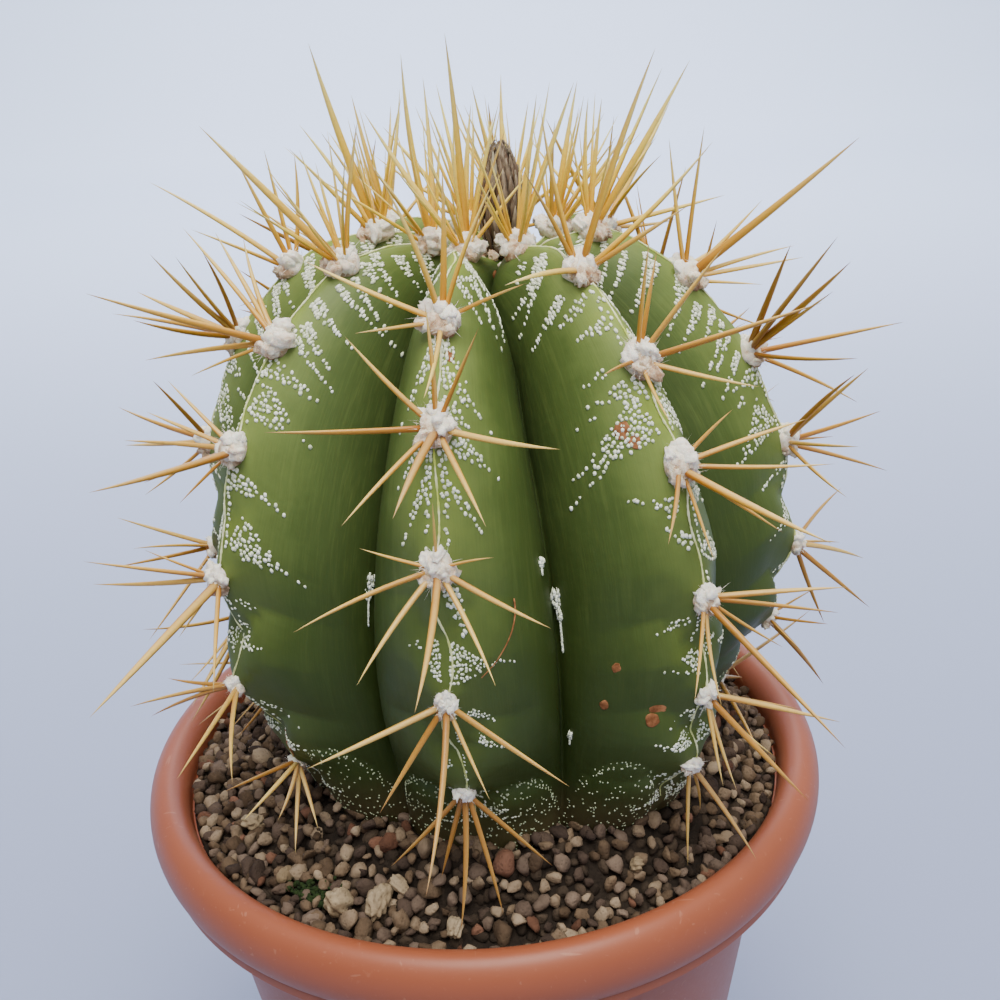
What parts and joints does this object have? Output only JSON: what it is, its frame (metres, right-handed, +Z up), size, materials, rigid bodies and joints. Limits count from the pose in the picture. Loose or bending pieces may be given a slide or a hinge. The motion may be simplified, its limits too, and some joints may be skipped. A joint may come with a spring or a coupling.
{
  "type": "potted monk's hood cactus",
  "caption": "Globe-shaped ribbed cactus with woolly areoles and straight spines, in grit in a plain round plastic pot.",
  "frame": {"origin": "centre of the pot's flat foot", "axes": "+Z up along the pot's axis, -Y towards the side that the picture shows, +X to its right"},
  "size_m": [0.1553, 0.1648, 0.2609],
  "materials": {
    "pot": "satin terracotta-coloured moulded plastic with fine scratches",
    "soil": "dry tan and grey-brown pumice grit",
    "cactus": "dark green skin with white flecks, cream wool on the areoles and golden spines",
    "dried_flower": "dry grey-brown hairy bracts"
  },
  "bodies": {
    "root": {"pot": "pot", "soil": "soil", "cactus": "cactus", "dried_flower": "dried_flower"}
  },
  "joints": []
}
